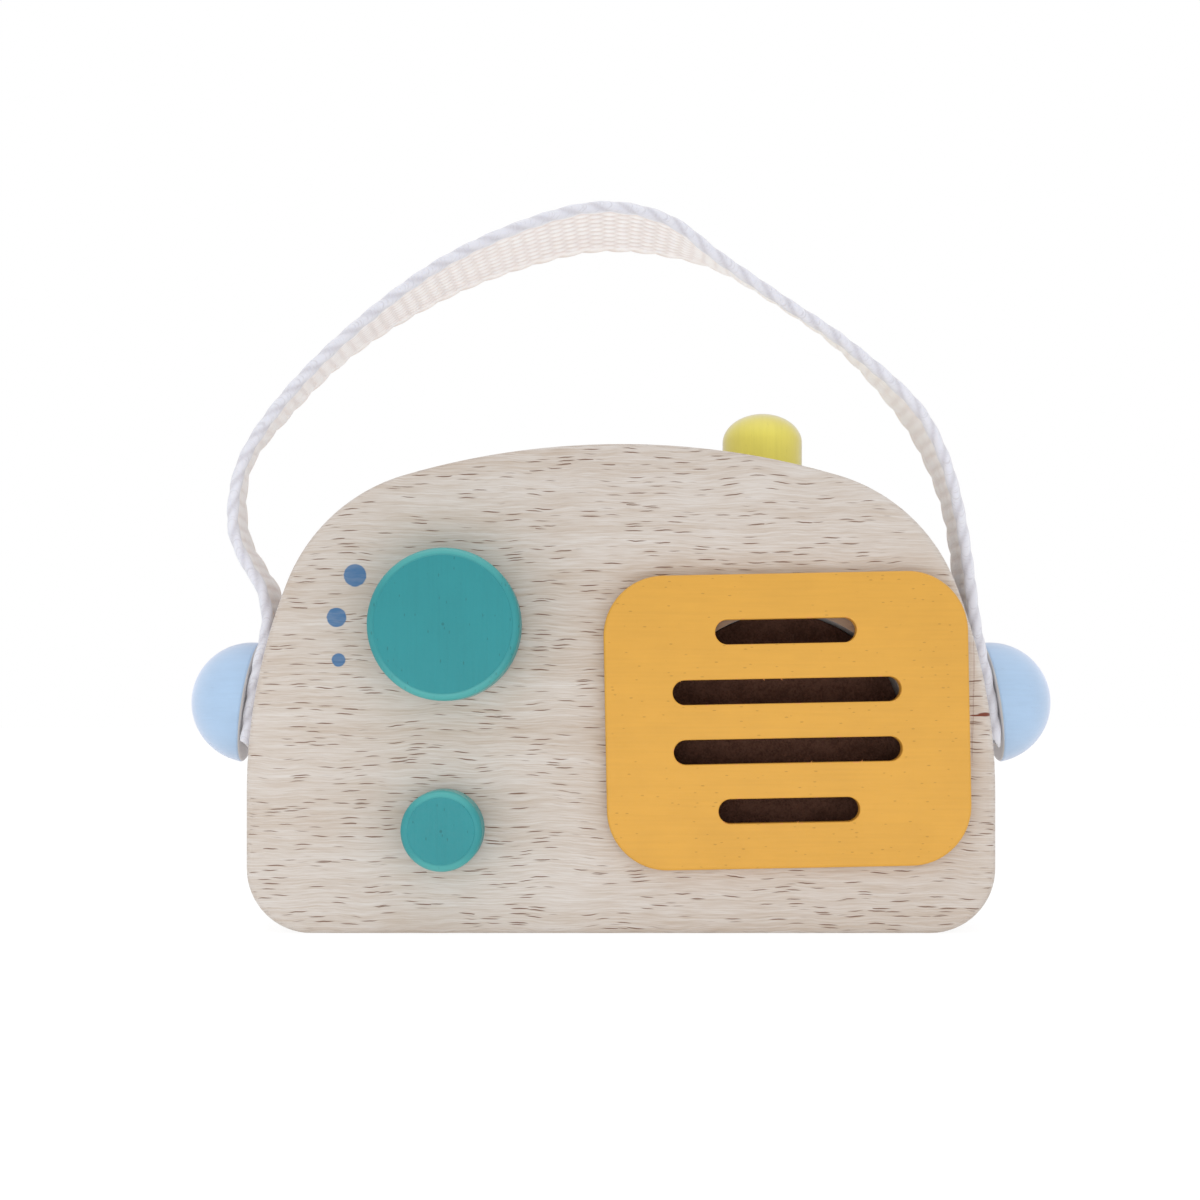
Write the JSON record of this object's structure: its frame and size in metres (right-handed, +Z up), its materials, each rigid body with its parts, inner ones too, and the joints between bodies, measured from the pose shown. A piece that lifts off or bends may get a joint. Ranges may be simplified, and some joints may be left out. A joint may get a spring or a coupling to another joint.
{
  "type": "wooden toy radio",
  "caption": "Arched wooden toy radio with turning knobs, a slotted speaker plate, a sprung top button and a webbing carry strap held by half-ball caps.",
  "frame": {"origin": "middle of the flat base of the case, at half its depth", "axes": "+X to the right of someone who looks at the front, +Y to the back, +Z up"},
  "size_m": [0.1784, 0.0465, 0.1489],
  "materials": {
    "beech": "sanded beech with a thin matt oil, fine dark flecks",
    "mustard_paint": "matt water-based paint on plywood",
    "teal_paint": "satin water-based paint on turned beech",
    "lemon_paint": "matt water-based paint on turned beech",
    "sky_blue_paint": "satin water-based paint on turned beech",
    "cotton_webbing": "plain-woven cotton webbing",
    "dark_felt": "dark brown felt",
    "steel": "plain zinc-plated steel"
  },
  "bodies": {
    "case": {"case_block": "beech", "speaker_grille": "mustard_paint", "speaker_felt": "dark_felt", "tuning_plug": "beech", "volume_plug": "beech", "button_spring": "steel", "button_retaining_dowel": "beech", "left_strap_cap": "sky_blue_paint", "left_cap_dowel": "beech", "right_strap_cap": "sky_blue_paint", "right_cap_dowel": "beech", "strap_left_tab": "cotton_webbing", "strap_right_tab": "cotton_webbing"},
    "tuning": {"tuning_knob": "teal_paint", "tuning_spindle": "beech", "tuning_washer": "steel", "tuning_screw": "steel"},
    "volume": {"volume_knob": "teal_paint", "volume_spindle": "beech", "volume_washer": "steel", "volume_screw": "steel"},
    "button": {"button": "lemon_paint"},
    "strap": {"strap_span": "cotton_webbing"}
  },
  "joints": [
    {"name": "tuning_turn", "type": "hinge", "parent": "case", "child": "tuning", "pos_m": [-0.0347, 0, 0.0615], "axis": [0, 1, 0], "continuous": true},
    {"name": "volume_turn", "type": "hinge", "parent": "case", "child": "volume", "pos_m": [-0.0351, 0, 0.0211], "axis": [0, 1, 0], "continuous": true},
    {"name": "button_press", "type": "slide", "parent": "case", "child": "button", "axis": [0, 0, -1], "range_m": [0, 0.005], "stiffness_N_per_m": 300, "springref_m": -0.004, "deforming": ["button_spring"]},
    {"name": "strap_swing", "type": "hinge", "parent": "case", "child": "strap", "pos_m": [0, 0, 0.085], "axis": [1, 0, 0], "range_deg": [-75, 75]}
  ]
}
